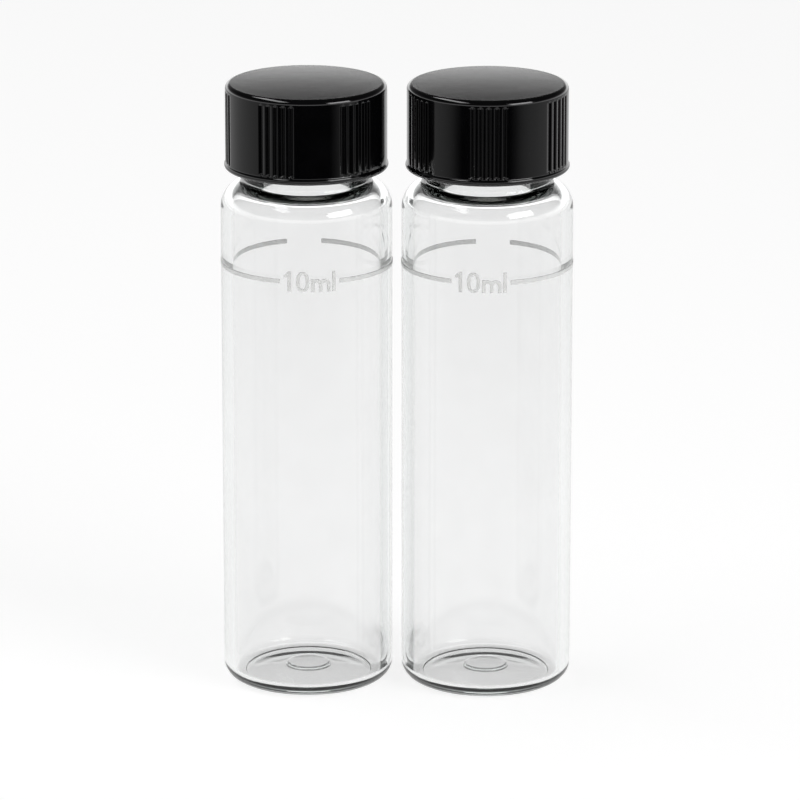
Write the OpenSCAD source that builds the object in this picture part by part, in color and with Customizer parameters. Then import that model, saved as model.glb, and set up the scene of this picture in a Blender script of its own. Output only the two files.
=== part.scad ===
// Pair of 10 ml water sample vials for a pool test kit, each closed by a screw cap.
// Each vial is a glass body with a printed fill line and volume mark, a ribbed cap
// that screws onto its neck, and a foam liner with a thin facing inside the cap.
// X runs along the row of vials, Y from front to back, and Z up from the feet.

/* [Pair] */
// Distance between the axes of the two vials
vial_pitch = 20; // [19.9:0.1:30]

/* [Glass vial] */
// Outside diameter of the glass body
glass_d = 19; // [18.6:0.1:19.2]
// Thickness of the glass wall
wall_t = 1.27; // [1:0.01:1.5]
// Thickness of the glass floor
floor_t = 1.2; // [1:0.1:2]
// Outside radius of the foot
foot_r = 1.9; // [1.2:0.1:2.4]
// Radius of the corner between the floor and the wall inside
floor_corner_r = 0.5; // [0.4:0.1:1.2]
// Width of the flat ring that the vial stands on
foot_ring_w = 0.7; // [0.5:0.1:1.2]
// Height of the shallow hollow under the foot
push_up = 0.3; // [0.1:0.05:0.5]
// Diameter of the small boss in the middle of the floor
boss_d = 4.8; // [3:0.1:6]
// Height of the small boss in the middle of the floor
boss_h = 0.35; // [0.1:0.05:0.6]
// Height at which the straight wall ends and the shoulder starts
shoulder_z = 54.5; // [53.5:0.25:55]
// Radius of the round shoulder
shoulder_r = 3; // [2.8:0.1:3.4]

/* [Neck] */
// Height of the rim above the table
rim_z = 66; // [65.8:0.1:66.4]
// Diameter of the neck's bore
neck_bore_d = 9.5; // [8:0.1:10.2]
// Diameter of the plain collar between the shoulder and the thread
collar_d = 14.1; // [13.8:0.1:14.3]
// Diameter of the neck at the bottom of the thread
neck_root_d = 13.4; // [13.2:0.1:13.5]
// Diameter of the neck over the thread
neck_crest_d = 14.6; // [14.4:0.1:14.7]
// Number of turns of thread on the neck
neck_turns = 1.75; // [1:0.25:2]

/* [Cap] */
// Diameter of the cap's skirt
cap_d = 17.86; // [17.6:0.02:18]
// Height of the cap to its top edge
cap_h = 9.55; // [9.4:0.05:10]
// Rise of the slightly domed top
cap_crown = 0.2; // [0.1:0.05:0.4]
// Radius of the cap's top edge
cap_edge_r = 0.6; // [0.4:0.1:0.8]
// Diameter over the bead at the bottom of the skirt
bead_d = 18.16; // [18.1:0.02:18.4]
// Height of the bead
bead_h = 0.8; // [0.6:0.1:1]
// Length of the neck that the cap covers
cap_overlap = 7.1; // [6.9:0.1:7.2]
// Diameter of the plain bore inside the cap
cap_bore_d = 15; // [15:0.1:15.2]
// Inside diameter of the cap's thread
cap_crest_d = 13.9; // [13.9:0.1:14.1]
// Number of turns of thread in the cap
cap_turns = 1.75; // [1:0.25:2]
// Number of rib groups round the cap
rib_groups = 6; // [4:1:8]
// Number of ribs in each group
ribs = 4; // [3:1:6]
// Angle from one rib to the next
rib_step = 5.7; // [5:0.1:6]
// Radius of the round groove beside each rib
groove_r = 0.25; // [0.2:0.01:0.3]
// Turn of the left cap's rib groups from the front
left_cap_turn = -20; // [-30:1:30]
// Turn of the right cap's rib groups from the front
right_cap_turn = 1; // [-30:1:30]

/* [Liner] */
// Diameter of the liner
liner_d = 14.6; // [14:0.1:14.7]
// Thickness of the foam pad
pad_t = 1; // [0.8:0.05:1.1]
// Thickness of the facing that seals against the rim
facing_t = 0.15; // [0.1:0.05:0.25]

/* [Print] */
// Volume marked by the fill line, in millilitres
fill_ml = 10; // [8:0.5:10]
// Height of the printed line
line_w = 0.52; // [0.4:0.02:0.8]
// Thickness of the printed enamel
ink_t = 0.05; // [0.03:0.01:0.1]
// Half of the front gap in the line, where the volume mark stands
front_gap = 20; // [18:0.5:30]
// Half of the back gap in the line
back_gap = 13; // [5:0.5:20]
// Height of the figures
mark_h = 2.3; // [1.9:0.1:2.5]
// Thickness of the figures' strokes
stroke_w = 0.4; // [0.3:0.01:0.42]
// Turn of the left vial's print from the front
left_print_turn = 4; // [-20:1:20]
// Turn of the right vial's print from the front
right_print_turn = -4; // [-20:1:20]

/* [Hidden] */
$fn = 96;
large_fn = 720;
groove_fn = 32;
clear = 1;

glass_r = glass_d / 2;
inner_r = glass_r - wall_t;
ring_r = glass_r - foot_r;
hollow_r = ring_r - foot_ring_w;
push_up_r = (pow(hollow_r, 2) + pow(push_up, 2)) / (2 * push_up);
boss_r = boss_d / 2;
shoulder_mid_r = glass_r - shoulder_r;
inner_shoulder_r = shoulder_r - wall_t;

neck_bore_r = neck_bore_d / 2;
neck_root_r = neck_root_d / 2;
neck_crest_r = neck_crest_d / 2;
collar_r = collar_d / 2;
collar_to_rim = 6.9;
collar_top_z = rim_z - collar_to_rim;
rim_round = 0.4;
neck_fillet = 0.6;
fillet_r = collar_r + neck_fillet;
fillet_z = shoulder_z + sqrt(pow(shoulder_r + neck_fillet, 2) - pow(fillet_r - shoulder_mid_r, 2));

cap_z = rim_z - cap_overlap;
cap_r = cap_d / 2;
bead_r = bead_d / 2;
cap_bore_r = cap_bore_d / 2;
cap_crest_r = cap_crest_d / 2;

turns_per_inch = 12;
pitch = 25.4 / turns_per_inch;
thread_segments = 48;
taper_segments = 4;
sunk = 0.2;
neck_root_w = 1.35;
neck_crest_w = 0.5;
thread_to_rim = 1.2;
neck_thread_z = rim_z - thread_to_rim - neck_turns * pitch;
cap_root_w = 1.15;
cap_crest_w = 0.4;
cap_thread_to_rim = 6;
cap_thread_z = rim_z - cap_thread_to_rim;
thread_play = 0.12;
neck_ridge_h = neck_crest_r - neck_root_r + sunk;
neck_slope = (neck_root_w - neck_crest_w) / neck_ridge_h;
meeting_w = neck_crest_w + neck_slope * (neck_crest_r - cap_crest_r);
thread_offset = (meeting_w + cap_crest_w) / 2 + thread_play;
cap_thread_start = 360 * (cap_thread_z + thread_offset - neck_thread_z) / pitch;

ceiling_z = rim_z + facing_t + pad_t;
top_flat_r = cap_r - cap_edge_r;
crown_r = (pow(top_flat_r, 2) + pow(cap_crown, 2)) / (2 * cap_crown);
groove_out = 0.03;
groove_land = 0.1;

inner_area = PI * pow(inner_r, 2);
corner_volume = 2 * PI * (inner_r - floor_corner_r / 4) * (1 - PI / 4) * pow(floor_corner_r, 2);
boss_volume = PI * pow(boss_r, 2) * boss_h;
fill_z = floor_t + (1000 * fill_ml + corner_volume + boss_volume) / inner_area;
ink_r = glass_r + ink_t;

one_w = 0.367 * mark_h;
flag_z = 0.8 * mark_h;
flag_w = 1.2 * stroke_w;
nought_w = 0.643 * mark_h;
arch_w = 0.561 * mark_h;
arch_h = 0.64 * mark_h;
letter_gap = 0.45 * stroke_w;

// Places a piece on the left vial's axis
module at_left(turn = 0) {
    translate([-vial_pitch / 2, 0, 0]) rotate([0, 0, turn]) children();
}

// Places a piece on the right vial's axis
module at_right(turn = 0) {
    translate([vial_pitch / 2, 0, 0]) rotate([0, 0, turn]) children();
}

// Rectangle of a lathe profile, from one radius and height to another
module band(r0, z0, r1, z1) {
    translate([r0, z0]) square([r1 - r0, z1 - z0]);
}

// Four points across a thread ridge at angle a and height z. The ridge stands on
// radius r_root and reaches r_crest, outwards on the neck and inwards in the cap.
function ridge_ring(r_root, r_crest, w_root, w_crest, a, z) =
    let (s = sign(r_crest - r_root))
    [
        [r_root * cos(a), r_root * sin(a), z - s * w_root / 2],
        [r_crest * cos(a), r_crest * sin(a), z - s * w_crest / 2],
        [r_crest * cos(a), r_crest * sin(a), z + s * w_crest / 2],
        [r_root * cos(a), r_root * sin(a), z + s * w_root / 2]
    ];

// Right-handed thread ridge on a wall of radius r_wall, starting at height z0 and
// angle a0. It is sunk a little into the wall and tapers into it at both ends.
module thread_ridge(r_wall, r_crest, w_root, w_crest, z0, a0, turns) {
    s = sign(r_crest - r_wall);
    r_root = r_wall - s * sunk;
    r_low = r_wall - s * sunk / 2;
    n = round(turns * thread_segments);
    points = [
        for (i = [0:n])
            let (k = min(1, i / taper_segments, (n - i) / taper_segments))
            let (r = r_low + (r_crest - r_low) * k)
            let (t = i / thread_segments)
            each ridge_ring(r_root, r, w_root, w_crest, a0 + 360 * t, z0 + pitch * t)
    ];
    sides = [
        for (i = [0:n - 1], j = [0:3])
            let (p = 4 * i + j, q = 4 * i + (j + 1) % 4)
            each [[p, q + 4, p + 4], [p, q, q + 4]]
    ];
    start = [[0, 2, 1], [0, 3, 2]];
    end = [[4 * n, 4 * n + 1, 4 * n + 2], [4 * n, 4 * n + 2, 4 * n + 3]];
    polyhedron(points, concat(start, sides, end));
}

// Outline of the solid glass, from the standing ring up to the rounded rim
module glass_outline() {
    difference() {
        union() {
            band(0, 0, ring_r, foot_r);
            translate([ring_r, foot_r]) circle(foot_r);
            band(0, foot_r, glass_r, shoulder_z);
            translate([shoulder_mid_r, shoulder_z]) circle(shoulder_r);
            band(0, shoulder_z, collar_r, collar_top_z);
            polygon([[0, shoulder_z], [shoulder_mid_r, shoulder_z], [fillet_r, fillet_z], [0, fillet_z]]);
            band(0, collar_top_z, neck_root_r, rim_z - rim_round);
            band(0, collar_top_z, neck_root_r - rim_round, rim_z);
            translate([neck_root_r - rim_round, rim_z - rim_round]) circle(rim_round);
        }
        translate([fillet_r, fillet_z]) circle(neck_fillet);
        translate([0, push_up - push_up_r]) circle(push_up_r, $fn = large_fn);
    }
}

// Outline of the space inside the glass, with the boss in the middle of the floor
module glass_hollow() {
    corner_z = floor_t + floor_corner_r;
    band(boss_r, floor_t, inner_r - floor_corner_r, corner_z);
    translate([inner_r - floor_corner_r, corner_z]) circle(floor_corner_r);
    band(0, floor_t + boss_h, inner_r - floor_corner_r, corner_z);
    band(0, corner_z, inner_r, shoulder_z);
    translate([shoulder_mid_r, shoulder_z]) circle(inner_shoulder_r);
    band(0, shoulder_z, shoulder_mid_r, shoulder_z + inner_shoulder_r);
    band(0, shoulder_z, neck_bore_r, rim_z + clear);
}

// Keeps the half of a lathe profile that lies at positive radius
module right_half() {
    intersection() {
        children();
        band(0, -clear, glass_d, rim_z + glass_d);
    }
}

// Glass body of one vial, with the thread for its cap
module vial_glass() {
    color([0.86, 0.89, 0.88, 0.45]) {
        rotate_extrude() right_half() difference() {
            glass_outline();
            glass_hollow();
        }
        thread_ridge(
            neck_root_r, neck_crest_r, neck_root_w, neck_crest_w,
            neck_thread_z, 0, neck_turns
        );
    }
}

// Printed ring at the marked volume, in two arcs with a gap in front and behind
module fill_line() {
    color([0.62, 0.63, 0.63])
        for (side = [0, 1])
            mirror([side, 0, 0])
                rotate([0, 0, front_gap - 90])
                    rotate_extrude(angle = 180 - front_gap - back_gap)
                        band(glass_r, fill_z - line_w / 2, ink_r, fill_z + line_w / 2);
}

// Figure one: an upright stroke with a short flag at its top
module figure_one() {
    stem_x = one_w - stroke_w;
    translate([stem_x, 0]) square([stroke_w, mark_h]);
    polygon([
        [stem_x, mark_h],
        [0, flag_z],
        [0, flag_z - stroke_w],
        [stem_x, mark_h - flag_w]
    ]);
}

// Upright shape of the figure nought, with round ends of radius r
module long_shape(r) {
    end_r = nought_w / 2;
    translate([end_r - r, end_r]) square([2 * r, mark_h - 2 * end_r]);
    for (y = [end_r, mark_h - end_r]) translate([end_r, y]) circle(r);
}

// Figure nought: a ring with straight sides
module figure_nought() {
    difference() {
        long_shape(nought_w / 2);
        long_shape(nought_w / 2 - stroke_w);
    }
}

// Arch of the small letter m, with its right leg
module arch() {
    translate([arch_w / 2, arch_h - arch_w / 2]) intersection() {
        difference() {
            circle(arch_w / 2);
            circle(arch_w / 2 - stroke_w);
        }
        translate([-arch_w, 0]) square([2 * arch_w, arch_w]);
    }
    translate([arch_w - stroke_w, 0]) square([stroke_w, arch_h - arch_w / 2]);
}

// Small letter m: a stem and two arches
module letter_m() {
    square([stroke_w, arch_h]);
    for (i = [0, 1]) translate([i * (arch_w - stroke_w), 0]) arch();
}

// The volume mark in plain strokes, drawn flat and centred across
module mark_outline() {
    nought_x = one_w + 3 * letter_gap;
    m_x = nought_x + nought_w + letter_gap;
    l_x = m_x + 2 * arch_w - stroke_w + letter_gap;
    translate([-(l_x + stroke_w) / 2, 0]) {
        figure_one();
        translate([nought_x, 0]) figure_nought();
        translate([m_x, 0]) letter_m();
        translate([l_x, 0]) square([stroke_w, mark_h]);
    }
}

// Printed figures, wrapped on the front of the glass
module volume_mark() {
    color([0.62, 0.63, 0.63]) intersection() {
        rotate_extrude() band(glass_r, fill_z - mark_h, ink_r, fill_z + mark_h);
        translate([0, 0, fill_z - mark_h / 2]) rotate([90, 0, 0]) linear_extrude(glass_d) mark_outline();
    }
}

// Thin facing that seals on the rim
module liner_facing() {
    color([0.93, 0.93, 0.91]) translate([0, 0, rim_z]) cylinder(h = facing_t, d = liner_d);
}

// Foam pad behind the facing
module liner_pad() {
    color([0.95, 0.95, 0.94]) translate([0, 0, rim_z + facing_t]) cylinder(h = pad_t, d = liner_d);
}

// Outline of the solid cap, with its bead, rounded top edge and crown
module cap_outline() {
    top_z = cap_z + cap_h;
    band(0, cap_z, bead_r - bead_h / 2, cap_z + bead_h);
    translate([bead_r - bead_h / 2, cap_z + bead_h / 2]) circle(bead_h / 2);
    band(0, cap_z + bead_h / 2, cap_r, top_z - cap_edge_r);
    band(0, cap_z + bead_h, top_flat_r, top_z);
    translate([top_flat_r, top_z - cap_edge_r]) circle(cap_edge_r);
    intersection() {
        band(0, top_z - cap_edge_r, top_flat_r, top_z + clear);
        translate([0, top_z + cap_crown - crown_r]) circle(crown_r, $fn = large_fn);
    }
}

// Round cutters of the grooves on both sides of every rib
module grooves() {
    for (g = [0:rib_groups - 1], i = [0:ribs])
        rotate([0, 0, g * 360 / rib_groups + (i - ribs / 2) * rib_step - 90])
            translate([cap_r + groove_out, 0, cap_z + bead_h])
                cylinder(h = cap_h - bead_h - cap_edge_r - groove_land, r = groove_r, $fn = groove_fn);
}

// Ribbed screw cap with its thread inside
module cap_shell() {
    color([0.08, 0.08, 0.085]) {
        difference() {
            rotate_extrude() right_half() difference() {
                cap_outline();
                band(0, cap_z - clear, cap_bore_r, ceiling_z);
            }
            grooves();
        }
        thread_ridge(
            cap_bore_r, cap_crest_r, cap_root_w, cap_crest_w,
            cap_thread_z, cap_thread_start, cap_turns
        );
    }
}

at_left(left_cap_turn) vial_glass();  // left_vial_glass
at_left(left_print_turn) fill_line();  // left_fill_line
at_left(left_print_turn) volume_mark();  // left_volume_mark
at_left() liner_facing();  // left_liner_facing
at_left() liner_pad();  // left_liner_pad
at_left(left_cap_turn) cap_shell();  // left_cap_shell
at_right(right_cap_turn) vial_glass();  // right_vial_glass
at_right(right_print_turn) fill_line();  // right_fill_line
at_right(right_print_turn) volume_mark();  // right_volume_mark
at_right() liner_facing();  // right_liner_facing
at_right() liner_pad();  // right_liner_pad
at_right(right_cap_turn) cap_shell();  // right_cap_shell
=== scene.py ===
"""Looks of two capped water sample vials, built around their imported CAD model.

Lengths are metres, written as millimetres times MM. Angles round a vial are radians
from +X, as in the CAD model, and the front of the object faces -Y.
"""

import functools
import math

import bpy
import numpy as np
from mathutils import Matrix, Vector


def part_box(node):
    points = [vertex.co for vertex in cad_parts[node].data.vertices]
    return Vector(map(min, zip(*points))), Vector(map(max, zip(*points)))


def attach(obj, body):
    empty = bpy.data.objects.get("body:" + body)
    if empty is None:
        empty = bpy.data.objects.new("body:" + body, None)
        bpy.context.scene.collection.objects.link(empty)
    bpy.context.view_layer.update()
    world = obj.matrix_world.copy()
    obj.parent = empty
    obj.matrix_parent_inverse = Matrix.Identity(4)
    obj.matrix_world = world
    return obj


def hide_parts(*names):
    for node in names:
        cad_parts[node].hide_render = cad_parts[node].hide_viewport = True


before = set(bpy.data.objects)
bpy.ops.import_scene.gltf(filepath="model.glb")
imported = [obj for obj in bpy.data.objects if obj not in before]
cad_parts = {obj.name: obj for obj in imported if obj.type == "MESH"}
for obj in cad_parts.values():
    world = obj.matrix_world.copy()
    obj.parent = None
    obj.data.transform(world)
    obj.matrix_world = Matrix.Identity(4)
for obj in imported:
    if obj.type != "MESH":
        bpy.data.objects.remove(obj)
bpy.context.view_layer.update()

MM = 0.001
FRONT = -math.pi / 2
SIDES = ("left", "right")

# ---------------------------------------------------------------- sizes from the frame
glass_low, glass_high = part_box("left_vial_glass")
cap_low, cap_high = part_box("left_cap_shell")
pad_low, pad_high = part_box("left_liner_pad")
line_low, line_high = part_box("left_fill_line")
mark_low, mark_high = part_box("left_volume_mark")

GLASS_R = (glass_high.x - glass_low.x) / 2
RIM_Z = glass_high.z
BEAD_R = (cap_high.x - cap_low.x) / 2
CAP_Z = cap_low.z
CAP_TOP_Z = cap_high.z
LINER_R = (pad_high.x - pad_low.x) / 2
CEILING_Z = pad_high.z
PAD_Z = pad_low.z
FILL_Z = (line_low.z + line_high.z) / 2
LINE_W = line_high.z - line_low.z
MARK_H = mark_high.z - mark_low.z
INK_R = (line_high.x - line_low.x) / 2

# ---------------------------------------------------------------- sizes of the glass
WALL = 1.27 * MM
FLOOR = 1.2 * MM
FOOT_R = 1.9 * MM
RING_R = GLASS_R - FOOT_R
HOLLOW_R = RING_R - 0.7 * MM
PUSH_UP = 0.3 * MM
HEEL_R = 0.25 * MM
CORNER_R = 0.5 * MM
BOSS_R = 2.4 * MM
BOSS_H = 0.35 * MM
BOSS_EDGE = 0.16 * MM
INNER_R = GLASS_R - WALL
SHOULDER_Z = 54.5 * MM
SHOULDER_R = 3 * MM
SHOULDER_MID = GLASS_R - SHOULDER_R
COLLAR_R = 7.05 * MM
COLLAR_TOP = RIM_Z - 6.9 * MM
COLLAR_EDGE = 0.18 * MM
NECK_FILLET = 0.6 * MM
NECK_R = 6.7 * MM
NECK_BORE = 4.75 * MM
BORE_FILLET = 0.9 * MM
RIM_ROUND = 0.4 * MM
BORE_ROUND = 0.3 * MM

# ---------------------------------------------------------------- sizes of the cap
CAP_R = 8.93 * MM
CAP_EDGE = 0.6 * MM
CROWN = 0.2 * MM
BEAD_H = 0.8 * MM
CAP_BORE = 7.5 * MM
SKIRT_ROUND = 0.2 * MM
RIB_GROUPS = 6
RIBS = 4
RIB_STEP = math.radians(5.7)
GROOVE_R = 0.25 * MM
GROOVE_OUT = 0.03 * MM
GROOVE_LAND = 0.1 * MM
CAP_TURN = {"left": math.radians(-20), "right": math.radians(1)}
PRINT_TURN = {"left": math.radians(4), "right": math.radians(-4)}

# ---------------------------------------------------------------- threads
PITCH = 25.4 / 12 * MM
TURNS = 1.75
NECK_RIDGE = 0.6 * MM
NECK_RIDGE_FOOT = 0.57 * MM
NECK_RIDGE_CREST = 0.25 * MM
NECK_THREAD_Z = RIM_Z - 1.2 * MM - TURNS * PITCH
CAP_RIDGE = 0.55 * MM
CAP_RIDGE_FOOT = 0.475 * MM
CAP_RIDGE_CREST = 0.2 * MM
CAP_THREAD_Z = RIM_Z - 6 * MM
CAP_THREAD_OFFSET = 0.756 * MM
TAPER = math.radians(35)

# Points of an outline nearer than this are one point.
SAME_POINT = 1e-7
# A point of an outline this near to a radius lies on it.
ON_RADIUS = 1e-8


def arc(centre, radius, start, end, steps):
    """Points of an arc in a lathe outline, between two angles in degrees."""
    a = np.radians(np.linspace(start, end, steps + 1))
    return np.column_stack((centre[0] + radius * np.cos(a), centre[1] + radius * np.sin(a)))


def run(start, end, steps):
    """Points of a straight stretch in a lathe outline."""
    return np.linspace(start, end, steps + 1)


def join(*stretches):
    """One outline from its stretches, without the points that two of them share."""
    points = np.vstack(stretches)
    apart = np.linalg.norm(np.diff(points, axis=0), axis=1) > SAME_POINT
    return points[np.concatenate(([True], apart))]


def on_radius(r, radius):
    """Which points of an outline lie at a radius."""
    return np.abs(r - radius) < ON_RADIUS


def smooth(t):
    """0 below 0, 1 above 1, and a smooth step between."""
    t = np.clip(t, 0, 1)
    return t * t * (3 - 2 * t)


def new_object(name, points, faces, material):
    """A smooth-shaded mesh object of plain points and faces."""
    mesh = bpy.data.meshes.new(name)
    mesh.from_pydata(points, [], faces)
    mesh.shade_smooth()
    mesh.materials.append(material)
    obj = bpy.data.objects.new(name, mesh)
    bpy.context.scene.collection.objects.link(obj)
    return obj


def lathe(name, outline, angles, axis_x, material, relief=None):
    """Closed mesh turned from an outline that starts and ends on the axis, with the
    material on its left. relief(angle, radius, height) is added to the radius."""
    inner = outline[1:-1]
    a, r = np.meshgrid(angles, inner[:, 0])
    z = np.repeat(inner[:, 1:], len(angles), axis=1)
    if relief:
        r = r + relief(a, r, z)
    rings = np.stack((axis_x + r * np.cos(a), r * np.sin(a), z), axis=-1).reshape(-1, 3)
    poles = [(axis_x, 0, outline[0, 1]), (axis_x, 0, outline[-1, 1])]
    count = len(angles)
    index = np.arange(len(rings)).reshape(len(inner), count)
    here, there = index, np.roll(index, -1, axis=1)
    quads = np.stack((here[:-1], there[:-1], there[1:], here[1:]), axis=-1).reshape(-1, 4)
    first, last = len(rings), len(rings) + 1
    faces = quads.tolist()
    faces += [(first, b, c) for b, c in zip(there[0].tolist(), here[0].tolist())]
    faces += [(last, b, c) for b, c in zip(here[-1].tolist(), there[-1].tolist())]
    return new_object(name, np.vstack((rings, poles)).tolist(), faces, material)


def thread_height(angle, z, start_angle, start_z, foot, crest, height):
    """Height of a right-handed ridge, whose half widths are foot at the wall and crest
    at its top, at an angle round the axis and a height along it."""
    best = np.zeros_like(z)
    first = np.mod(angle - start_angle, 2 * math.pi)
    for turn in range(math.ceil(TURNS)):
        along = first + 2 * math.pi * turn
        off = np.abs(z - start_z - PITCH * along / (2 * math.pi))
        left = 2 * math.pi * TURNS - along
        ends = smooth(along / TAPER) * smooth(left / TAPER)
        best = np.maximum(best, height * ends * smooth((foot - off) / (foot - crest)))
    return best


def side_offset(side):
    """X of a vial's axis."""
    low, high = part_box(f"{side}_vial_glass")
    return (low.x + high.x) / 2


# ---------------------------------------------------------------- materials
GLASS_TINT_LOW = (0.940, 0.936, 0.938)
GLASS_TINT_HIGH = (0.954, 0.950, 0.952)
GLASS_ROUGHNESS = (0.0, 0.015)
GLASS_CORD_DEPTH = 0.0012 * MM
GLASS_DEPTH_COLOUR = (0.40, 0.75, 0.62)
GLASS_DEPTH_DENSITY = 12.0
ENAMEL_DARK = (0.87, 0.875, 0.865)
ENAMEL_LIGHT = (0.94, 0.945, 0.935)
ENAMEL_ROUGHNESS = (0.12, 0.22)
ENAMEL_GRAIN_DEPTH = 0.002 * MM
PLASTIC_DRIFT = (0.7, 1.4)
PLASTIC_RIPPLE_DEPTH = 0.01 * MM
FOAM_CELL = (0.84, 0.84, 0.81)
FOAM_WALL = (0.66, 0.66, 0.63)
FOAM_ROUGHNESS = (0.75, 0.95)
FOAM_CELLS_PER_MM = 5
FOAM_CELL_DEPTH = 0.05 * MM
FOAM_SCATTER = 0.3 * MM
FILM_DARK = (0.74, 0.735, 0.70)
FILM_LIGHT = (0.82, 0.82, 0.79)
FILM_ROUGHNESS = (0.28, 0.42)
FILM_LINE_DEPTH = 0.01 * MM


def material_nodes(name, **constants):
    """A new material and its nodes, links and Principled shader, with constant values
    set on the shader's own sockets."""
    material = bpy.data.materials.new(name)
    material.use_nodes = True
    tree = material.node_tree
    shader = tree.nodes["Principled BSDF"]
    for socket, value in constants.items():
        shader.inputs[socket.replace("_", " ")].default_value = value
    return material, tree.nodes, tree.links, shader


def place(nodes, links, stretch=(1, 1, 1)):
    """Object coordinates in millimetres, scaled by stretch, as a vector socket."""
    where = nodes.new("ShaderNodeTexCoord")
    mapping = nodes.new("ShaderNodeMapping")
    mapping.inputs["Scale"].default_value = [s / MM for s in stretch]
    links.new(where.outputs["Object"], mapping.inputs["Vector"])
    return mapping.outputs["Vector"]


def noise(nodes, links, vector, scale, detail=4, roughness=0.55):
    """Noise from 0 to 1, with so many features in a unit of its vector, which is a
    millimetre for a vector from place()."""
    texture = nodes.new("ShaderNodeTexNoise")
    texture.inputs["Scale"].default_value = scale
    texture.inputs["Detail"].default_value = detail
    texture.inputs["Roughness"].default_value = roughness
    links.new(vector, texture.inputs["Vector"])
    return texture.outputs["Fac"]


def spread(nodes, links, value, low, high, start=0.3, end=0.7):
    """A value between start and end, spread linearly over low to high."""
    remap = nodes.new("ShaderNodeMapRange")
    sockets = ("From Min", "From Max", "To Min", "To Max")
    for socket, number in zip(sockets, (start, end, low, high)):
        remap.inputs[socket].default_value = number
    links.new(value, remap.inputs["Value"])
    return remap.outputs["Result"]


def tones(nodes, links, value, *stops):
    """A colour for a value, from stops of (position, colour)."""
    ramp = nodes.new("ShaderNodeValToRGB")
    while len(ramp.color_ramp.elements) < len(stops):
        ramp.color_ramp.elements.new(0.5)
    for element, (position, colour) in zip(ramp.color_ramp.elements, stops):
        element.position = position
        element.color = (*colour, 1)
    links.new(value, ramp.inputs["Fac"])
    return ramp.outputs["Color"]


def greys(stops):
    """Colour stops for tones() from (position, grey) pairs."""
    return [(position, (grey,) * 3) for position, grey in stops]


def bump(nodes, links, height, depth, under=None):
    """A normal socket for relief of a depth in metres, over another normal if given."""
    node = nodes.new("ShaderNodeBump")
    node.inputs["Strength"].default_value = 1.0
    node.inputs["Distance"].default_value = depth
    links.new(height, node.inputs["Height"])
    if under:
        links.new(under, node.inputs["Normal"])
    return node.outputs["Normal"]


def dress(links, shader, colour, roughness, normal):
    """Link the three sockets that vary over a surface to its shader."""
    links.new(colour, shader.inputs["Base Color"])
    links.new(roughness, shader.inputs["Roughness"])
    links.new(normal, shader.inputs["Normal"])


def glass_material():
    """Clear tube glass with faint cords along its length and a green depth."""
    material, nodes, links, shader = material_nodes(
        "clear_tube_glass", IOR=1.5, Transmission_Weight=1.0
    )
    at = place(nodes, links)
    drawn = noise(nodes, links, place(nodes, links, (1, 1, 0.06)), 0.9, 3)
    tint = noise(nodes, links, at, 0.25, 2)
    dress(
        links, shader,
        tones(nodes, links, tint, (0.3, GLASS_TINT_LOW), (0.7, GLASS_TINT_HIGH)),
        spread(nodes, links, drawn, *GLASS_ROUGHNESS),
        bump(nodes, links, drawn, GLASS_CORD_DEPTH),
    )
    depth = nodes.new("ShaderNodeVolumeAbsorption")
    depth.inputs["Color"].default_value = (*GLASS_DEPTH_COLOUR, 1)
    depth.inputs["Density"].default_value = GLASS_DEPTH_DENSITY
    links.new(depth.outputs["Volume"], nodes["Material Output"].inputs["Volume"])
    return material


def enamel_material():
    """Grey screen-printed enamel, slightly mottled, with a fine grain. It lets some
    light through."""
    material, nodes, links, shader = material_nodes(
        "grey_print_enamel", Specular_IOR_Level=0.4, Transmission_Weight=0.65, IOR=1.45
    )
    at = place(nodes, links)
    mottle = noise(nodes, links, at, 2.5, 5, 0.7)
    grain = noise(nodes, links, at, 25, 3)
    dress(
        links, shader,
        tones(nodes, links, mottle, (0.3, ENAMEL_DARK), (0.7, ENAMEL_LIGHT)),
        spread(nodes, links, grain, *ENAMEL_ROUGHNESS),
        bump(nodes, links, grain, ENAMEL_GRAIN_DEPTH),
    )
    return material


def plastic_material(name, tone, roughness, grain_per_mm, grain_depth):
    """Black moulded plastic: its tone drifts a little, fine grain roughens it, and
    long soft ripples from the mould bend its reflections."""
    material, nodes, links, shader = material_nodes(name, IOR=1.5)
    at = place(nodes, links)
    drift = noise(nodes, links, at, 0.4, 4)
    grain = noise(nodes, links, at, grain_per_mm, 4, 0.65)
    ripple = noise(nodes, links, place(nodes, links, (1, 1, 0.3)), 0.35, 2)
    dark, light = (tuple(c * k for c in tone) for k in PLASTIC_DRIFT)
    rippled = bump(nodes, links, ripple, PLASTIC_RIPPLE_DEPTH)
    dress(
        links, shader,
        tones(nodes, links, drift, (0.3, dark), (0.7, light)),
        spread(nodes, links, grain, *roughness),
        bump(nodes, links, grain, grain_depth, under=rippled),
    )
    return material


def foam_material():
    """White closed-cell foam, its cells showing as small domes with thin walls."""
    material, nodes, links, shader = material_nodes("liner_foam_cells", Subsurface_Weight=0.15)
    shader.inputs["Subsurface Scale"].default_value = FOAM_SCATTER
    at = place(nodes, links)
    cells = nodes.new("ShaderNodeTexVoronoi")
    cells.inputs["Scale"].default_value = FOAM_CELLS_PER_MM
    links.new(at, cells.inputs["Vector"])
    cell = cells.outputs["Distance"]
    drift = noise(nodes, links, at, 0.6, 3)
    dress(
        links, shader,
        tones(nodes, links, cell, (0.1, FOAM_CELL), (0.8, FOAM_WALL)),
        spread(nodes, links, drift, *FOAM_ROUGHNESS),
        bump(nodes, links, cell, -FOAM_CELL_DEPTH),
    )
    return material


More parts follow.
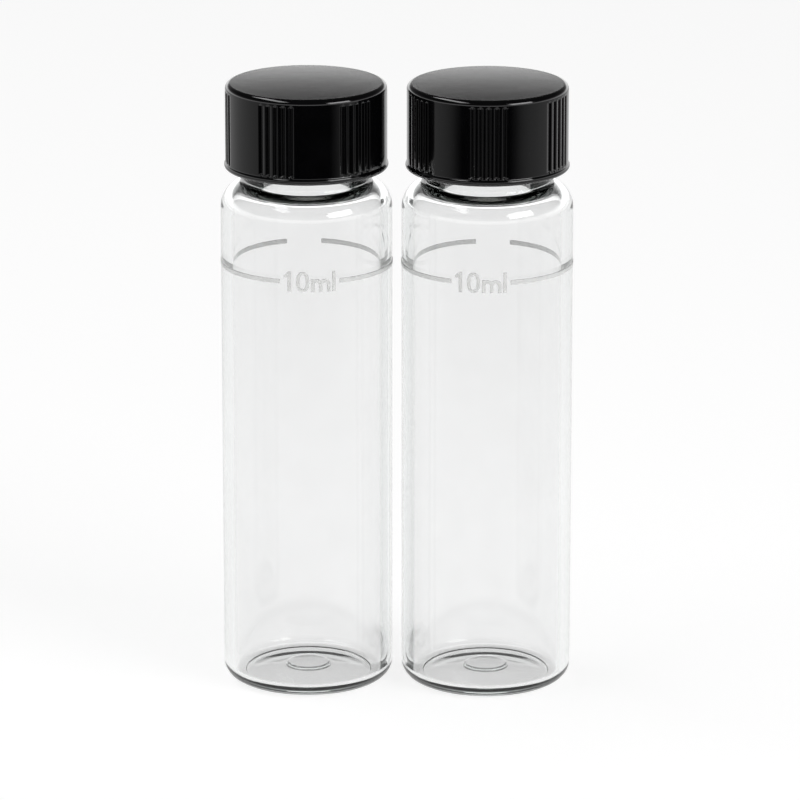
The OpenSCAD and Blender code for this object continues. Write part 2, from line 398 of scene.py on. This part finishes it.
def film_material():
    """Off-white sealing film, smooth, with faint rolling lines."""
    material, nodes, links, shader = material_nodes("liner_sealing_film", IOR=1.4)
    rolled = noise(nodes, links, place(nodes, links, (0.15, 4, 1)), 1.5, 3)
    cloud = noise(nodes, links, place(nodes, links), 0.8, 4)
    dress(
        links, shader,
        tones(nodes, links, cloud, (0.3, FILM_DARK), (0.7, FILM_LIGHT)),
        spread(nodes, links, rolled, *FILM_ROUGHNESS),
        bump(nodes, links, rolled, FILM_LINE_DEPTH),
    )
    return material


glass = glass_material()
enamel = enamel_material()
cap_gloss = plastic_material(
    "cap_gloss_plastic", tone=(0.0012, 0.0012, 0.0014), roughness=(0.05, 0.09),
    grain_per_mm=14, grain_depth=0.001 * MM,
)
cap_satin = plastic_material(
    "cap_satin_plastic", tone=(0.003, 0.003, 0.0032), roughness=(0.20, 0.28),
    grain_per_mm=9, grain_depth=0.004 * MM,
)
foam = foam_material()
film = film_material()


# ---------------------------------------------------------------- glass bodies
GLASS_COLUMNS = 256


def glass_outline():
    """Outer surface from the dimple under the foot up to the rim, then the inner
    surface down to the boss in the middle of the floor."""
    dimple_r = (HOLLOW_R**2 + PUSH_UP**2) / (2 * PUSH_UP)
    reach = math.degrees(math.asin((HOLLOW_R - HEEL_R) / dimple_r))
    fillet_r = COLLAR_R + NECK_FILLET
    fillet_out = fillet_r - SHOULDER_MID
    fillet_z = SHOULDER_Z + math.sqrt((SHOULDER_R + NECK_FILLET) ** 2 - fillet_out**2)
    meet = math.degrees(math.atan2(fillet_z - SHOULDER_Z, fillet_out))
    inner_shoulder = SHOULDER_R - WALL
    bore_fillet_r = NECK_BORE + BORE_FILLET
    bore_fillet_z = SHOULDER_Z + inner_shoulder + BORE_FILLET
    corner_z = FLOOR + CORNER_R
    boss_z = FLOOR + BOSS_H
    outside = join(
        arc((0, PUSH_UP - dimple_r), dimple_r, 90, 90 - reach, 16),
        arc((HOLLOW_R + HEEL_R, HEEL_R), HEEL_R, 235, 270, 5),
        run((HOLLOW_R + HEEL_R, 0), (RING_R, 0), 2),
        arc((RING_R, FOOT_R), FOOT_R, -90, 0, 24),
        run((GLASS_R, FOOT_R), (GLASS_R, SHOULDER_Z), 30),
        arc((SHOULDER_MID, SHOULDER_Z), SHOULDER_R, 0, meet, 26),
        arc((fillet_r, fillet_z), NECK_FILLET, 180 + meet, 180, 8),
        run((COLLAR_R, fillet_z), (COLLAR_R, COLLAR_TOP - COLLAR_EDGE), 2),
        arc((COLLAR_R - COLLAR_EDGE, COLLAR_TOP - COLLAR_EDGE), COLLAR_EDGE, 0, 90, 6),
        arc((NECK_R + COLLAR_EDGE, COLLAR_TOP + COLLAR_EDGE), COLLAR_EDGE, 270, 180, 6),
        run((NECK_R, COLLAR_TOP + COLLAR_EDGE), (NECK_R, RIM_Z - RIM_ROUND), 84),
        arc((NECK_R - RIM_ROUND, RIM_Z - RIM_ROUND), RIM_ROUND, 0, 90, 8),
    )
    inside = join(
        arc((NECK_BORE + BORE_ROUND, RIM_Z - BORE_ROUND), BORE_ROUND, 90, 180, 8),
        run((NECK_BORE, RIM_Z - BORE_ROUND), (NECK_BORE, bore_fillet_z), 6),
        arc((bore_fillet_r, bore_fillet_z), BORE_FILLET, 180, 270, 12),
        arc((SHOULDER_MID, SHOULDER_Z), inner_shoulder, 90, 0, 24),
        run((INNER_R, SHOULDER_Z), (INNER_R, corner_z), 30),
        arc((INNER_R - CORNER_R, corner_z), CORNER_R, 0, -90, 16),
        run((INNER_R - CORNER_R, FLOOR), (BOSS_R + BOSS_EDGE, FLOOR), 8),
        arc((BOSS_R + BOSS_EDGE, FLOOR + BOSS_EDGE), BOSS_EDGE, 270, 180, 6),
        arc((BOSS_R - BOSS_EDGE, boss_z - BOSS_EDGE), BOSS_EDGE, 0, 90, 6),
        run((BOSS_R - BOSS_EDGE, boss_z), (0, boss_z), 8),
    )
    outline = join(outside, inside)
    outline[[0, -1], 0] = 0
    return outline


def neck_thread(start_angle):
    """Relief of the thread on the outside of the neck."""
    def relief(angle, r, z):
        on_neck = on_radius(r, NECK_R) & (z > COLLAR_TOP)
        ridge = thread_height(
            angle, z, start_angle, NECK_THREAD_Z, NECK_RIDGE_FOOT, NECK_RIDGE_CREST, NECK_RIDGE
        )
        return np.where(on_neck, ridge, 0)
    return relief


def build_glass(side):
    """One vial's glass body, one closed surface with its real wall thickness."""
    angles = np.linspace(0, 2 * math.pi, GLASS_COLUMNS, endpoint=False)
    piece = lathe(
        f"{side}_glass_body", glass_outline(), angles, side_offset(side), glass,
        neck_thread(CAP_TURN[side]),
    )
    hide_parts(f"{side}_vial_glass")
    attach(piece, f"{side}_vial")


# ---------------------------------------------------------------- prints
INK_BASE = GLASS_R - 0.003 * MM
INK_EDGE = 0.07 * MM
INK_RAGGED = 0.012 * MM
FRONT_GAP = math.radians(20)
BACK_GAP = math.radians(13)
LINE_CORNER = 0.05 * MM
LINE_STEP = 0.07 * MM

# The figures of the volume mark. X is where a figure starts, from the mark's middle.
STROKE = 0.4 * MM
STROKE_CORNER = 0.03 * MM
MARK_SPAN = 2.95 * MM
MARK_STEP = 0.045 * MM
ONE_X = -2.90 * MM
ONE_W = 0.84 * MM
NOUGHT_MID = -0.778 * MM
NOUGHT_HALF_W = 0.74 * MM
M_X = 0.141 * MM
ARCH_W = 1.29 * MM
ARCH_H = 0.64 * MARK_H
L_X = 2.501 * MM


def box_distance(u, w, low, high, corner=0.0):
    """Distance from a rectangle with round corners, negative inside it."""
    du = np.abs(u - (low[0] + high[0]) / 2) - (high[0] - low[0]) / 2 + corner
    dw = np.abs(w - (low[1] + high[1]) / 2) - (high[1] - low[1]) / 2 + corner
    outside = np.hypot(np.maximum(du, 0), np.maximum(dw, 0))
    return outside + np.minimum(np.maximum(du, dw), 0) - corner


def stroke_distance(u, w, start, end, half):
    """Distance from a straight stroke with round ends, negative inside it."""
    start, end = np.array(start), np.array(end)
    way = end - start
    t = np.clip(((u - start[0]) * way[0] + (w - start[1]) * way[1]) / (way @ way), 0, 1)
    return np.hypot(u - start[0] - t * way[0], w - start[1] - t * way[1]) - half


def ring_distance(u, w, centre, half_w, half_h, stroke):
    """Distance from the outline of a tall oval, roughly, negative in the stroke."""
    def oval(a, b):
        power = 2.3
        reach = (np.abs(u - centre[0]) / a) ** power + (np.abs(w - centre[1]) / b) ** power
        return (reach ** (1 / power) - 1) * a
    return np.maximum(oval(half_w, half_h), -oval(half_w - stroke, half_h - 0.9 * stroke))


def arch_distance(u, w, left, width, height, stroke):
    """Distance from one arch of the letter m with its right leg."""
    r = width / 2
    top = np.abs(np.hypot(u - left - r, w - height + r) - r + stroke / 2) - stroke / 2
    top = np.where(w >= height - r, top, r)
    leg = box_distance(u, w, (left + width - stroke, 0), (left + width, height - r + 0.01 * MM))
    return np.minimum(top, leg)


def mark_distance(u, w):
    """Distance from the figures of the volume mark. They stand on w = 0."""
    h, s = MARK_H, STROKE
    stem_x = ONE_X + ONE_W
    hook_start = (stem_x - s * 0.7, h - s * 0.55)
    hook_end = (ONE_X + s / 2, h * 0.77)
    parts = [
        box_distance(u, w, (stem_x - s, 0), (stem_x, h), STROKE_CORNER),
        stroke_distance(u, w, hook_start, hook_end, s * 0.46),
        ring_distance(u, w, (NOUGHT_MID, h / 2), NOUGHT_HALF_W, h / 2, s),
        box_distance(u, w, (M_X, 0), (M_X + s, ARCH_H), STROKE_CORNER),
        arch_distance(u, w, M_X, ARCH_W, ARCH_H, s),
        arch_distance(u, w, M_X + ARCH_W - s, ARCH_W, ARCH_H, s),
        box_distance(u, w, (L_X, 0), (L_X + s, h), STROKE_CORNER),
    ]
    return np.minimum.reduce(parts)


def printed(name, side, distance, u_span, w_span, step, w_zero):
    """Closed mesh of enamel on the glass, wherever distance is negative. u runs round
    the glass from the print's middle and w up from w_zero. The enamel swells from
    nothing at its outline to its full thickness."""
    us = np.arange(u_span[0] - step, u_span[1] + 2 * step, step)
    ws = np.arange(w_span[0] - step / 2, w_span[1] + 1.5 * step, step * 0.93)
    u, w = np.meshgrid(us, ws, indexing="ij")
    x, y = u / MM, w / MM
    ragged = INK_RAGGED * np.sin(x * 9 + 2 * np.sin(y * 7)) * np.cos(y * 11 + x * 3)
    d = distance(u, w) + ragged
    # A grid point on the outline would leave slivers, so it counts as just inside.
    near = 0.08 * step
    d = np.where(np.abs(d) < near, -near, d)
    count = len(ws)
    flat = np.stack((u.ravel(), w.ravel(), d.ravel()), axis=1)
    points, index, faces = [], {}, []

    def corner(key, value):
        if key not in index:
            index[key] = len(points)
            points.append(value)
        return index[key]

    def clipped(triangle):
        """Corner numbers of the part of a triangle that lies inside the outline."""
        kept = []
        for a, b in zip(triangle, triangle[1:] + triangle[:1]):
            if flat[a, 2] < 0:
                kept.append(corner((a, a), flat[a]))
            if (flat[a, 2] < 0) != (flat[b, 2] < 0):
                p, q = min(a, b), max(a, b)
                t = flat[p, 2] / (flat[p, 2] - flat[q, 2])
                kept.append(corner((p, q), flat[p] + t * (flat[q] - flat[p])))
        return kept

    inside = d < 0
    touched = inside[:-1, :-1] | inside[1:, :-1] | inside[:-1, 1:] | inside[1:, 1:]
    for i, j in np.argwhere(touched).tolist():
        a, b = i * count + j, (i + 1) * count + j
        for triangle in ([a, b, b + 1], [a, b + 1, a + 1]):
            kept = clipped(triangle)
            if len(kept) > 2:
                faces.append(kept)

    flat_points = np.array(points)
    rim = np.abs(flat_points[:, 2]) < 1e-12
    share = np.clip(-flat_points[:, 2] / INK_EDGE, 0, 1)
    height = (INK_R - INK_BASE) * np.sqrt(1 - (1 - share) ** 2)
    turn = FRONT + PRINT_TURN[side] + flat_points[:, 0] / GLASS_R
    z = w_zero + flat_points[:, 1]

    def on_glass(r):
        return np.stack((side_offset(side) + r * np.cos(turn), r * np.sin(turn), z), axis=1)

    # The underside shares the rim's points, and its other points follow the upper ones.
    lower = np.where(rim, np.arange(len(points)), np.cumsum(~rim) - 1 + len(points))
    under = [[int(lower[k]) for k in reversed(face)] for face in faces]
    upper_points = on_glass(INK_BASE + height)
    under_points = on_glass(np.full(len(points), INK_BASE))[~rim]
    return new_object(
        name, np.vstack((upper_points, under_points)).tolist(), faces + under, enamel
    )


def build_prints(side):
    """The volume mark and the two arcs of the fill line on one vial."""
    mark = printed(
        f"{side}_mark_print", side, mark_distance,
        (-MARK_SPAN, MARK_SPAN), (0, MARK_H), MARK_STEP, FILL_Z - MARK_H / 2,
    )
    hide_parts(f"{side}_volume_mark")
    start, end = FRONT_GAP * GLASS_R, (math.pi - BACK_GAP) * GLASS_R
    arcs = []
    for hand, sign in (("east", 1), ("west", -1)):
        low, high = sorted((sign * start, sign * end))
        shape = functools.partial(
            box_distance, low=(low, 0), high=(high, LINE_W), corner=LINE_CORNER
        )
        arcs.append(printed(
            f"{side}_line_print_{hand}", side, shape,
            (low, high), (0, LINE_W), LINE_STEP, FILL_Z - LINE_W / 2,
        ))
    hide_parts(f"{side}_fill_line")
    for piece in (mark, *arcs):
        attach(piece, f"{side}_vial")


# ---------------------------------------------------------------- caps
CAP_COLUMNS = 180
GROOVE_COLUMNS = 9
COLUMN_GAP = 2e-3


def cap_outline():
    """From the ceiling inside down the bore, round the bead and up over the top."""
    bead_r = BEAD_H / 2
    bead_mid = BEAD_R - bead_r
    meet = math.degrees(math.acos((CAP_R - bead_mid) / bead_r))
    edge_mid = CAP_R - CAP_EDGE
    edge_z = CAP_TOP_Z - CROWN - CAP_EDGE
    crown_r = (edge_mid**2 + CROWN**2) / (2 * CROWN)
    lean = math.degrees(math.asin(edge_mid / crown_r))
    side_start = (CAP_R, CAP_Z + bead_r + bead_r * math.sin(math.radians(meet)))
    groove_low, groove_high = CAP_Z + BEAD_H, edge_z - GROOVE_LAND
    outline = join(
        run((0, CEILING_Z), (CAP_BORE - SKIRT_ROUND, CEILING_Z), 6),
        arc((CAP_BORE - SKIRT_ROUND, CEILING_Z - SKIRT_ROUND), SKIRT_ROUND, 90, 0, 4),
        run((CAP_BORE, CEILING_Z - SKIRT_ROUND), (CAP_BORE, CAP_Z + SKIRT_ROUND), 92),
        arc((CAP_BORE + SKIRT_ROUND, CAP_Z + SKIRT_ROUND), SKIRT_ROUND, 180, 270, 4),
        run((CAP_BORE + SKIRT_ROUND, CAP_Z), (bead_mid, CAP_Z), 3),
        arc((bead_mid, CAP_Z + bead_r), bead_r, -90, meet, 14),
        run(side_start, (CAP_R, groove_low), 1),
        run((CAP_R, groove_low), (CAP_R, groove_low + GROOVE_R), 6),
        run((CAP_R, groove_low + GROOVE_R), (CAP_R, groove_high - GROOVE_R), 10),
        run((CAP_R, groove_high - GROOVE_R), (CAP_R, groove_high), 6),
        run((CAP_R, groove_high), (CAP_R, edge_z), 1),
        arc((edge_mid, edge_z), CAP_EDGE, 0, 90 - lean, 16),
        arc((0, CAP_TOP_Z - crown_r), crown_r, 90 - lean, 90, 18),
    )
    outline[[0, -1], 0] = 0
    return outline, groove_low, groove_high


def groove_angles(side):
    """Angles of every groove beside the ribs of one cap."""
    return np.array([
        FRONT + CAP_TURN[side] + group * 2 * math.pi / RIB_GROUPS + (i - RIBS / 2) * RIB_STEP
        for group in range(RIB_GROUPS)
        for i in range(RIBS + 1)
    ])


def build_cap(side):
    """One ribbed screw cap: glossy sides, satin top, and the thread inside."""
    outline, groove_low, groove_high = cap_outline()
    grooves = groove_angles(side)
    above = CAP_THREAD_Z + CAP_THREAD_OFFSET - NECK_THREAD_Z
    start = CAP_TURN[side] + 2 * math.pi * above / PITCH

    def relief(angle, r, z):
        apart = np.abs(np.mod(angle[0][:, None] - grooves + math.pi, 2 * math.pi) - math.pi).min(1)
        lateral = np.broadcast_to(apart * CAP_R, z.shape)
        past = np.maximum(groove_low + GROOVE_R - z, z - groove_high + GROOVE_R)
        reach = np.hypot(lateral, np.maximum(past, 0)) / GROOVE_R
        groove = (GROOVE_R - GROOVE_OUT) * np.clip(1 - reach**2, 0, 1) ** 0.75
        ridge = thread_height(
            angle, z, start, CAP_THREAD_Z, CAP_RIDGE_FOOT, CAP_RIDGE_CREST, CAP_RIDGE
        )
        bore = on_radius(r, CAP_BORE) & (z < CEILING_Z)
        return np.where(on_radius(r, CAP_R), -groove, np.where(bore, -ridge, 0))

    # Even columns all round and finer ones across each groove, without near doubles.
    fine = np.linspace(-1, 1, GROOVE_COLUMNS) * (GROOVE_R / CAP_R)
    angles = np.mod(np.concatenate((
        np.linspace(0, 2 * math.pi, CAP_COLUMNS, endpoint=False),
        (grooves[:, None] + fine).ravel(),
    )), 2 * math.pi)
    angles = np.sort(angles)
    angles = angles[np.concatenate((np.diff(angles) > COLUMN_GAP, [True]))]
    cap = lathe(f"{side}_screw_cap", outline, angles, side_offset(side), cap_gloss, relief)
    cap.data.materials.append(cap_satin)
    top = CAP_TOP_Z - CROWN - 0.001 * MM
    for face in cap.data.polygons:
        if face.center.z > top:
            face.material_index = 1
    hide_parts(f"{side}_cap_shell")
    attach(cap, f"{side}_cap")


# ---------------------------------------------------------------- liners
LINER_COLUMNS = 128
LINER_GAP = 0.005 * MM
PAD_EDGE = 0.12 * MM
FILM_EDGE = 0.05 * MM
FILM_INSET = 0.02 * MM
PRESS_DEPTH = 0.02 * MM
PRESS_SLOPE = 0.12 * MM
CUT_BAND = 0.2 * MM
CUT_DEPTH = 0.012 * MM


def disc_outline(low, high, radius, edge, print_ring=None):
    """Outline of a disc with rounded edges, and a shallow ring pressed in below."""
    below = run((0, low), (radius - edge, low), 2)
    if print_ring:
        inner, outer, depth = print_ring
        below = join(
            run((0, low), (inner - PRESS_SLOPE, low), 4),
            run((inner - PRESS_SLOPE, low), (inner, low + depth), 2),
            run((inner, low + depth), (outer, low + depth), 3),
            run((outer, low + depth), (outer + PRESS_SLOPE, low), 2),
            run((outer + PRESS_SLOPE, low), (radius - edge, low), 2),
        )
    return join(
        below,
        arc((radius - edge, low + edge), edge, -90, 0, 5),
        arc((radius - edge, high - edge), edge, 0, 90, 5),
        run((radius - edge, high), (0, high), 6),
    )


def build_liner(side):
    """Foam pad and sealing film under the cap's ceiling."""
    angles = np.linspace(0, 2 * math.pi, LINER_COLUMNS, endpoint=False)
    pad_outline = disc_outline(PAD_Z + LINER_GAP, CEILING_Z - LINER_GAP, LINER_R, PAD_EDGE)
    film_outline = disc_outline(
        RIM_Z, PAD_Z - LINER_GAP, LINER_R - FILM_INSET, FILM_EDGE,
        (NECK_BORE, NECK_R, PRESS_DEPTH),
    )

    def cut_edge(angle, r, z):
        """Relief of the slightly uneven edge that a punch leaves."""
        wave = np.sin(7 * angle + 1) + np.sin(13 * angle + 2 + 900 * z) + np.sin(31 * angle)
        return np.where(r > LINER_R - CUT_BAND, -CUT_DEPTH * (1 + wave / 3), 0)

    pad = lathe(f"{side}_foam_pad", pad_outline, angles, side_offset(side), foam, cut_edge)
    facing = lathe(f"{side}_seal_film", film_outline, angles, side_offset(side), film, cut_edge)
    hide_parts(f"{side}_liner_pad")
    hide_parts(f"{side}_liner_facing")
    for piece in (pad, facing):
        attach(piece, f"{side}_liner")


for side in SIDES:
    build_glass(side)
    build_prints(side)
    build_cap(side)
    build_liner(side)


# ---------------------------------------------------------------- stage and light
CAMERA_PITCH = math.radians(16.2)
CAMERA_SWING = math.radians(1.2)
CAMERA_DISTANCE = 669.5 * MM
CAMERA_AIM = Vector((0.34 * MM, 0, 32.13 * MM))
CAMERA_LENS = 270
CAMERA_SENSOR = 36
CAMERA_CLIP = (50 * MM, 20000 * MM)
FLOOR_HALF = 2000 * MM
FLOOR_Z = -0.02 * MM
FLOOR_TONE = (0.30, 0.30, 0.30)
FLOOR_GLOW = 0.83
FLOOR_CLOUDS_PER_METRE = 3
# Painted reflections: a ring round the object that glows in greys and that only glossy rays see.
PAINTED_RING_START, PAINTED_RING_FULL, PAINTED_RING_END = 90 * MM, 190 * MM, 1500 * MM
PAINTED_RING_Z = 0.2 * MM
PAINTED_RING_SIDES = 96
# Grey of the painted reflections on the ring, from in front of the object at 0 to behind it at 1.
PAINTED_REFLECTION_GREYS = (
    (0.085, 0.0), (0.125, 0.09), (0.16, 0.20), (0.21, 0.32),
    (0.27, 0.40), (0.42, 0.50), (0.8, 0.65), (1.0, 0.9),
)
# Grey of the studio, by the sine of the height above the horizon.
SKY_GREYS = ((0.0, 0.85), (0.155, 0.85), (0.22, 0.24), (0.28, 0.09), (0.40, 0.04), (0.52, 0.02))
SKY_STRENGTH = 2.0
# Name, azimuth, elevation, distance, width and height, radiance.
SOFTBOXES = (
    ("strip_softbox", -90, 64, 660 * MM, (690 * MM, 140 * MM), 5.0),
    ("key_softbox", 52, 31, 500 * MM, (270 * MM, 180 * MM), 7.0),
)


def stage_material(name, build):
    """A material for the stage, its nodes filled in by build."""
    material = bpy.data.materials.new(name)
    material.use_nodes = True
    material.node_tree.nodes.clear()
    out = material.node_tree.nodes.new("ShaderNodeOutputMaterial")
    build(material.node_tree.nodes, material.node_tree.links, out)
    return material


def floor_nodes(nodes, links, out):
    """Pale floor of opal acrylic, lit partly from below."""
    shader = nodes.new("ShaderNodeBsdfDiffuse")
    glow = nodes.new("ShaderNodeEmission")
    glow.inputs["Strength"].default_value = FLOOR_GLOW
    both = nodes.new("ShaderNodeAddShader")
    where = nodes.new("ShaderNodeTexCoord")
    clouds = noise(nodes, links, where.outputs["Object"], FLOOR_CLOUDS_PER_METRE, 2, 0.5)
    pale = [(k, tuple(c * s for c in FLOOR_TONE)) for k, s in ((0.3, 0.995), (0.7, 1.0))]
    links.new(tones(nodes, links, clouds, *pale), shader.inputs["Color"])
    links.new(shader.outputs["BSDF"], both.inputs[0])
    links.new(glow.outputs["Emission"], both.inputs[1])
    links.new(both.outputs["Shader"], out.inputs["Surface"])


def painted_reflection_nodes(nodes, links, out):
    """Painted reflections for the glossy caps: dark in front, grey at the sides and pale behind,
    as a white table lit from behind and from the sides looks to them, glowing though no lamp.
    Near the object it is a painted white, and it reaches its own grey at the full-grey radius."""
    where = nodes.new("ShaderNodeTexCoord")
    apart = nodes.new("ShaderNodeSeparateXYZ")
    length = nodes.new("ShaderNodeVectorMath")
    length.operation = "NORMALIZE"
    links.new(where.outputs["Object"], length.inputs[0])
    links.new(length.outputs["Vector"], apart.inputs["Vector"])
    bright = nodes.new("ShaderNodeEmission")
    facing = spread(nodes, links, apart.outputs["Y"], 0.0, 1.0, -1.0, 1.0)
    links.new(tones(nodes, links, facing, *greys(PAINTED_REFLECTION_GREYS)), bright.inputs["Color"])
    # Painted reflection of the white floor, near the object.
    painted_floor_reflection = nodes.new("ShaderNodeEmission")
    span = nodes.new("ShaderNodeVectorMath")
    span.operation = "LENGTH"
    fade = nodes.new("ShaderNodeMixShader")
    links.new(where.outputs["Object"], span.inputs[0])
    links.new(
        spread(nodes, links, span.outputs["Value"], 0.0, 1.0, PAINTED_RING_START, PAINTED_RING_FULL),
        fade.inputs["Fac"],
    )
    links.new(painted_floor_reflection.outputs["Emission"], fade.inputs[1])
    links.new(bright.outputs["Emission"], fade.inputs[2])
    links.new(fade.outputs["Shader"], out.inputs["Surface"])


def build_stage():
    """Floor, and the ring of painted reflections that only glossy rays see."""
    corners = [
        (x * FLOOR_HALF, y * FLOOR_HALF, FLOOR_Z)
        for x, y in ((-1, -1), (1, -1), (1, 1), (-1, 1))
    ]
    paper = stage_material("pale_floor_paper", floor_nodes)
    new_object("pale_floor", corners, [(0, 1, 2, 3)], paper)

    count = PAINTED_RING_SIDES
    points = [
        (radius * math.cos(a), radius * math.sin(a), PAINTED_RING_Z)
        for radius in (PAINTED_RING_START, PAINTED_RING_END)
        for a in np.linspace(0, 2 * math.pi, count, endpoint=False)
    ]
    faces = [(k, count + k, count + (k + 1) % count, (k + 1) % count) for k in range(count)]
    # The ring paints reflections: it glows in greys, and only glossy rays see it.
    mirrored = stage_material("painted_reflection_tones", painted_reflection_nodes)
    painted_ring = new_object("painted_reflection_ring", points, faces, mirrored)
    for ray in ("camera", "diffuse", "transmission", "shadow", "volume_scatter"):
        setattr(painted_ring, f"visible_{ray}", False)


def softbox(name, azimuth, elevation, distance, size, radiance):
    """A rectangular light that faces the object. Azimuth 0 is in front, 90 at +X."""
    a, e = math.radians(azimuth), math.radians(elevation)
    way = Vector((math.sin(a) * math.cos(e), -math.cos(a) * math.cos(e), math.sin(e)))
    lamp = bpy.data.lights.new(name, "AREA")
    lamp.shape = "RECTANGLE"
    lamp.size, lamp.size_y = size
    lamp.energy = math.pi * size[0] * size[1] * radiance
    box = bpy.data.objects.new(name, lamp)
    box.location = CAMERA_AIM + way * distance
    box.rotation_mode = "QUATERNION"
    box.rotation_quaternion = way.to_track_quat("Z", "Y")
    bpy.context.scene.collection.objects.link(box)


def build_world():
    """Bright up to just above the horizon, then falling off to a nearly dark ceiling."""
    world = bpy.data.worlds.new("studio")
    bpy.context.scene.world = world
    world.use_nodes = True
    nodes, links = world.node_tree.nodes, world.node_tree.links
    where = nodes.new("ShaderNodeTexCoord")
    apart = nodes.new("ShaderNodeSeparateXYZ")
    links.new(where.outputs["Generated"], apart.inputs["Vector"])
    background = nodes["Background"]
    links.new(
        tones(nodes, links, apart.outputs["Z"], *greys(SKY_GREYS)), background.inputs["Color"]
    )
    background.inputs["Strength"].default_value = SKY_STRENGTH


def build_camera():
    """Camera at the photograph's viewing angle."""
    back = Vector((
        math.sin(CAMERA_SWING) * math.cos(CAMERA_PITCH),
        -math.cos(CAMERA_SWING) * math.cos(CAMERA_PITCH),
        math.sin(CAMERA_PITCH),
    ))
    data = bpy.data.cameras.new("camera")
    data.lens = CAMERA_LENS
    data.sensor_width = CAMERA_SENSOR
    data.clip_start, data.clip_end = CAMERA_CLIP
    camera = bpy.data.objects.new("camera", data)
    camera.location = CAMERA_AIM + back * CAMERA_DISTANCE
    camera.rotation_mode = "QUATERNION"
    camera.rotation_quaternion = back.to_track_quat("Z", "Y")
    bpy.context.scene.collection.objects.link(camera)
    bpy.context.scene.camera = camera


build_stage()
build_world()
for lamp in SOFTBOXES:
    softbox(*lamp)
build_camera()
bpy.context.scene.view_settings.view_transform = "Standard"
